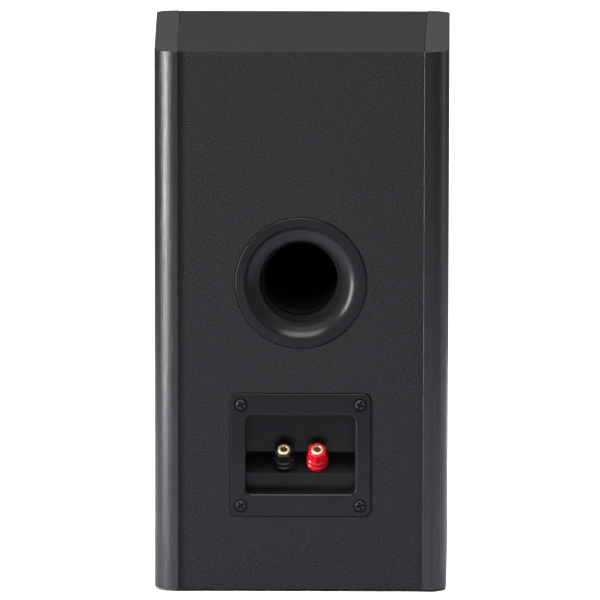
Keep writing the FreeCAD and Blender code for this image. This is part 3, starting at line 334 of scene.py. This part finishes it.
def fibre_wadding():
    """White polyester wadding: loose, tangled, slightly see-through fibres."""
    s = Shader("white_wadding_look")
    tangle = s.noise(420, detail=7.0, roughness=0.75)
    tufts = s.noise(60, detail=4.0)
    mixed = s.maths("ADD", s.maths("MULTIPLY", tangle, 0.6), s.maths("MULTIPLY", tufts, 0.4))
    colour = s.blend(s.remap(mixed, 0.35, 0.62, 0.0, 1.0), (0.50, 0.49, 0.46, 1), (0.86, 0.86, 0.84, 1))
    return s.finish(colour, 0.95, normal=s.bump(tangle, 0.0012, 0.8), specular=0.1,
                    Subsurface_Weight=0.25, Subsurface_Scale=0.004)


KNIT_WALE = 0.0011
KNIT_COURSE = 0.0009

LOOKS = {
    "grain_vinyl": grain_vinyl(),
    "smooth_vinyl": smooth_vinyl(),
    "textured_vinyl": textured_vinyl(),
    "moulded_black": moulded_black("moulded_black_look", 0.006, 0.009),
    "gold_plate": turned_metal("gold_plate_look", (1.0, 0.70, 0.40, 1), (1.0, 0.86, 0.62, 1), 0.42),
    "cap_black": tinted("cap_black_look", (0.010, 0.010, 0.012, 1), 0.24, specular=0.65, relief=0.00002),
    "cap_red": tinted("cap_red_look", (0.86, 0.007, 0.018, 1), 0.24, speckle=700, relief=0.00002),
    "black_screw": cross_head(),
    "black_rubber": painted("black_rubber_look", 0.016, 0.6, specular=0.35),
    "seal_foam": painted("seal_foam_look", 0.012, 0.9, specular=0.1, speckle=1200),
    "port_card": painted("port_card_look", 0.04, 0.7, specular=0.15, speckle=600),
    "raw_board": chipped_board(),
    "zinc_steel": turned_metal("zinc_steel_look", (0.46, 0.46, 0.44, 1), (0.64, 0.64, 0.60, 1), 0.3),
    "black_steel": painted("black_steel_look", 0.018, 0.4),
    "ferrite": painted("ferrite_look", 0.045, 0.62, speckle=900),
    "paper_cone": pressed_paper(),
    "spider_cloth": woven("spider_cloth_look", (0.20, 0.12, 0.05, 1), (0.46, 0.32, 0.14, 1), 0.0012),
    "dome_silk": woven("dome_silk_look", grey(0.006), grey(0.022), 0.0007, rough=0.5),
    "copper_wire": wound_wire(),
    "grille_cloth": knit_cloth(),
    "grille_board": painted("grille_board_look", 0.016, 0.6, speckle=700),
    "circuit_board": tinted("circuit_board_look", (0.035, 0.16, 0.055, 1), 0.35, speckle=500),
    "film_yellow": tinted("film_yellow_look", (0.62, 0.40, 0.05, 1), 0.28, speckle=300),
    "white_cement": painted("white_cement_look", 0.62, 0.8, speckle=900, specular=0.2),
    "white_wadding": fibre_wadding(),
    "lead_sheath": painted("lead_sheath_look", 0.03, 0.45, speckle=800),
}


def dress(node, look):
    for holder in node.material_slots:
        holder.material = look


for part in frame["record"]["subparts"]:
    dress(nodes[part["node"]], LOOKS[part["material_slot"]])
# The port's moulding is a shade paler than the terminal plate's.
dress(nodes["port_flare"], moulded_black("port_moulding_look", 0.011, 0.015))


# ---------------------------------------------------------------- soft pieces

def new_piece(name, work, slot):
    """A mesh piece made from a bmesh, with its look and its slot."""
    mesh = bpy.data.meshes.new(name)
    work.to_mesh(mesh)
    work.free()
    piece = bpy.data.objects.new(name, mesh)
    bpy.context.collection.objects.link(piece)
    mesh.materials.append(LOOKS[slot])
    for face in mesh.polygons:
        face.use_smooth = True
    return piece


def folded(along, half, radius):
    """The place and depth of a point of the flat sheet, once the sheet is folded over an edge at half."""
    flat = half - radius
    past = abs(along) - flat
    if past <= 0:
        return along, 0.0
    side = math.copysign(1, along)
    arc = radius * math.pi / 2
    if past <= arc:
        angle = past / radius
        return side * (flat + radius * math.sin(angle)), radius * (1 - math.cos(angle))
    return side * half, radius + past - arc


def stations(half, radius, deep, spacing):
    """Distances along the flat sheet: even over the front, close over the fold, then down the side."""
    flat = half - radius
    count = round(2 * flat / spacing)
    front = [-flat + 2 * flat * i / count for i in range(count + 1)]
    arc = radius * math.pi / 2
    beyond = [flat + arc * i / FOLD_STEPS for i in range(1, FOLD_STEPS + 1)]
    beyond += [flat + arc + (deep - radius) * i / SIDE_STEPS for i in range(1, SIDE_STEPS + 1)]
    return [-value for value in reversed(beyond)] + front + beyond


def grille_cloth():
    """The knitted cloth pulled over the front of the frame and folded down its four sides."""
    low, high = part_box("grille_cloth")
    half_x = (high[0] - low[0]) / 2 - CLOTH_INSET
    half_z = (high[2] - low[2]) / 2 - CLOTH_INSET
    middle_z = (high[2] + low[2]) / 2
    front = low[1] + CLOTH_INSET
    deep = high[1] - front - CLOTH_INSET
    across = stations(half_x, CLOTH_FOLD, deep, CLOTH_SPACING)
    upward = stations(half_z, CLOTH_FOLD, deep, CLOTH_SPACING)
    side_x = half_x - CLOTH_FOLD + CLOTH_FOLD * math.pi / 2
    side_z = half_z - CLOTH_FOLD + CLOTH_FOLD * math.pi / 2
    work = bmesh.new()
    grid = {}
    for i, u in enumerate(across):
        for j, v in enumerate(upward):
            if abs(u) > side_x + TINY and abs(v) > side_z + TINY:
                continue
            x, x_depth = folded(u, half_x, CLOTH_FOLD)
            z, z_depth = folded(v, half_z, CLOTH_FOLD)
            grid[i, j] = work.verts.new((x, front + max(x_depth, z_depth), middle_z + z))
    for i in range(len(across) - 1):
        for j in range(len(upward) - 1):
            corners = [grid.get(spot) for spot in ((i, j), (i + 1, j), (i + 1, j + 1), (i, j + 1))]
            if None not in corners:
                work.faces.new(corners)
    bmesh.ops.remove_doubles(work, verts=work.verts, dist=MERGE_WITHIN)
    cloth = new_piece("stretched_cloth", work, "grille_cloth")
    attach(cloth, "grille")
    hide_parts("grille_cloth")


def wadding(node_name, piece_name):
    """A torn batt of fibre: a lumpy, crowned block that stays inside its space."""
    low, high = (Vector(corner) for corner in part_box(node_name))
    middle = (low + high) / 2
    half = (high - low) / 2
    work = bmesh.new()
    bmesh.ops.create_cube(work, size=2.0)
    bmesh.ops.subdivide_edges(work, edges=work.edges, cuts=WADDING_CUTS, use_grid_fill=True)
    shift = Vector([random.uniform(0, 100) for axis in range(3)])
    for vert in work.verts:
        point = vert.co.copy()
        crown = Vector((1 - 0.16 * (point.y ** 4 + point.z ** 4) / 2,
                        1 - 0.10 * point.z ** 4,
                        1 - 0.05 * point.y ** 4))
        rounded = point * (0.72 + 0.28 / max(point.length, 1.0))
        placed = Vector([rounded[axis] * crown[axis] * half[axis] for axis in range(3)])
        lump = noise.fractal(placed * 45 + shift, 1.0, 2.0, 4)
        shrink = 1 - 0.06 * (0.5 + 0.5 * lump)
        vert.co = middle + placed * shrink
    batt = new_piece(piece_name, work, "white_wadding")
    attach(batt, "cabinet")
    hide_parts(node_name)


# Lengths are in metres.
TINY = 1e-6
CLOTH_INSET = 0.0001
CLOTH_FOLD = 0.0012
CLOTH_SPACING = 0.004
FOLD_STEPS = 4
SIDE_STEPS = 3
MERGE_WITHIN = 0.00002
WADDING_CUTS = 23

random.seed(7)
grille_cloth()
wadding("wadding_right", "fibre_batt_right")
wadding("wadding_left", "fibre_batt_left")


# ---------------------------------------------------------------- flexing rings

def wedge(node, middle, turn, half_turn):
    """The part of a ring-shaped node within half_turn of the direction turn, cut and closed."""
    work = bmesh.new()
    work.from_mesh(node.data)
    bmesh.ops.transform(work, matrix=node.matrix_world, verts=work.verts)
    bmesh.ops.remove_doubles(work, verts=work.verts, dist=TINY)
    for side in (-1, 1):
        edge = turn + side * half_turn
        outward = Vector((-math.sin(edge), 0, math.cos(edge))) * side
        whole = work.verts[:] + work.edges[:] + work.faces[:]
        cut = bmesh.ops.bisect_plane(work, geom=whole, plane_co=middle, plane_no=outward,
                                     clear_outer=True)
        rim = [item for item in cut["geom_cut"] if isinstance(item, bmesh.types.BMEdge)]
        bmesh.ops.holes_fill(work, edges=rim, sides=0)
    bmesh.ops.triangulate(work, faces=[face for face in work.faces if len(face.verts) > 4])
    return work


def flexing_ring(name, slot):
    """A ring between the basket and the cone, cut into closed wedges."""
    low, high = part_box(name)
    middle = (Vector(low) + Vector(high)) / 2
    half_turn = math.pi / RING_WEDGES
    # A point at a wedge's edge lies less far along the wedge's own direction than its radius.
    for index in range(RING_WEDGES):
        turn = 2 * half_turn * index
        work = wedge(nodes[name], middle, turn, half_turn)
        piece = new_piece(f"{name}_wedge_{index:02d}", work, slot)
        piece.data.set_sharp_from_angle(angle=math.radians(CREASE))
        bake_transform(piece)
        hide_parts(name)


RING_WEDGES = 20
CREASE = 40
flexing_ring("woofer_surround", "black_rubber")
flexing_ring("woofer_spider", "spider_cloth")


# ---------------------------------------------------------------- studio

def pale_floor():
    """A plain floor, pale to the camera and dimmer in the light that it throws back."""
    bpy.ops.mesh.primitive_plane_add(size=FLOOR_SIZE, location=(0, 0, 0))
    floor = bpy.context.object
    floor.name = "floor"
    s = Shader("floor_look")
    fine = s.noise(60, detail=3.0)
    seen = s.blend(s.remap(fine, 0.3, 0.7, 0.0, 1.0), (0.86, 0.86, 0.86, 1), (0.88, 0.88, 0.88, 1))
    path = s.add("ShaderNodeLightPath")
    colour = s.blend(path.outputs["Is Camera Ray"], FLOOR_CAST, seen)
    floor.data.materials.append(s.finish(colour, 0.9, specular=0.05))
    return floor


def floor_light(floor):
    """A broad light from above that reaches the floor alone and washes it out to white."""
    data = bpy.data.lights.new("floor_wash", "SUN")
    data.energy = FLOOR_WASH
    data.angle = math.radians(FLOOR_WASH_SPREAD)
    light = bpy.data.objects.new("floor_wash", data)
    bpy.context.collection.objects.link(light)
    lit = bpy.data.collections.new("floor_only")
    lit.objects.link(floor)
    light.light_linking.receiver_collection = lit


def soft_light(name, place, aim, width, height, power, colour=(1, 1, 1)):
    data = bpy.data.lights.new(name, "AREA")
    data.shape = "RECTANGLE"
    data.size = width
    data.size_y = height
    data.energy = power
    data.color = colour
    light = bpy.data.objects.new(name, data)
    bpy.context.collection.objects.link(light)
    light.location = place
    light.rotation_euler = (Vector(aim) - Vector(place)).to_track_quat("-Z", "Y").to_euler()
    light.visible_camera = False


def world(seen, cast):
    """White where the camera looks past the object, and a dimmer fill on the object."""
    scene_world = bpy.data.worlds.new("studio")
    scene_world.use_nodes = True
    tree = scene_world.node_tree
    background = tree.nodes["Background"]
    background.inputs["Color"].default_value = (1, 1, 1, 1)
    path = tree.nodes.new("ShaderNodeLightPath")
    level = tree.nodes.new("ShaderNodeMapRange")
    level.inputs["To Min"].default_value = cast
    level.inputs["To Max"].default_value = seen
    tree.links.new(path.outputs["Is Camera Ray"], level.inputs["Value"])
    tree.links.new(level.outputs["Result"], background.inputs["Strength"])
    bpy.context.scene.world = scene_world


def camera():
    data = bpy.data.cameras.new("camera")
    data.sensor_width = SENSOR_WIDTH
    data.lens = CAMERA_LENS
    data.clip_end = CAMERA_REACH
    seer = bpy.data.objects.new("camera", data)
    bpy.context.collection.objects.link(seer)
    seer.location = CAMERA_PLACE
    pitch, yaw, roll = (math.radians(angle) for angle in CAMERA_ANGLES)
    level = Vector((-math.cos(yaw), -math.sin(yaw), 0))
    forward = Vector((math.sin(yaw) * math.cos(pitch), -math.cos(yaw) * math.cos(pitch), -math.sin(pitch)))
    upward = level.cross(forward)
    right = math.cos(roll) * level + math.sin(roll) * upward
    top = math.cos(roll) * upward - math.sin(roll) * level
    turn = Matrix((right, top, -forward)).transposed()
    seer.rotation_euler = turn.to_euler()
    bpy.context.scene.camera = seer


# The camera's angles are pitch down, yaw and roll, in degrees; its lens and sensor are in millimetres.
CAMERA_PLACE = (-0.0254, 4.450, 0.8115)
CAMERA_ANGLES = (8.421, 0.341, 0.098)
CAMERA_LENS = 464.5
CAMERA_REACH = 50.0
SENSOR_WIDTH = 36.0

FLOOR_CAST = (0.26, 0.27, 0.30, 1)
FLOOR_WASH = 5.2
FLOOR_WASH_SPREAD = 24
FLOOR_SIZE = 1.5

floor_light(pale_floor())
world(seen=1.6, cast=0.10)
soft_light("key_left", (1.48, 0.80, 0.20), (0, 0.05, 0.12), 0.40, 1.45, 46)
soft_light("front_fill", (0.4, 2.5, 1.6), (0, 0, 0.12), 1.6, 1.2, 11)
soft_light("overhead", (0.1, 0.5, 2.0), (0, 0, 0), 1.6, 1.6, 54)
soft_light("right_edge", (-1.3, -0.3, 0.5), (0, 0.05, 0.17), 0.4, 1.2, 1.8)
camera()
bpy.context.scene.view_settings.view_transform = "Standard"
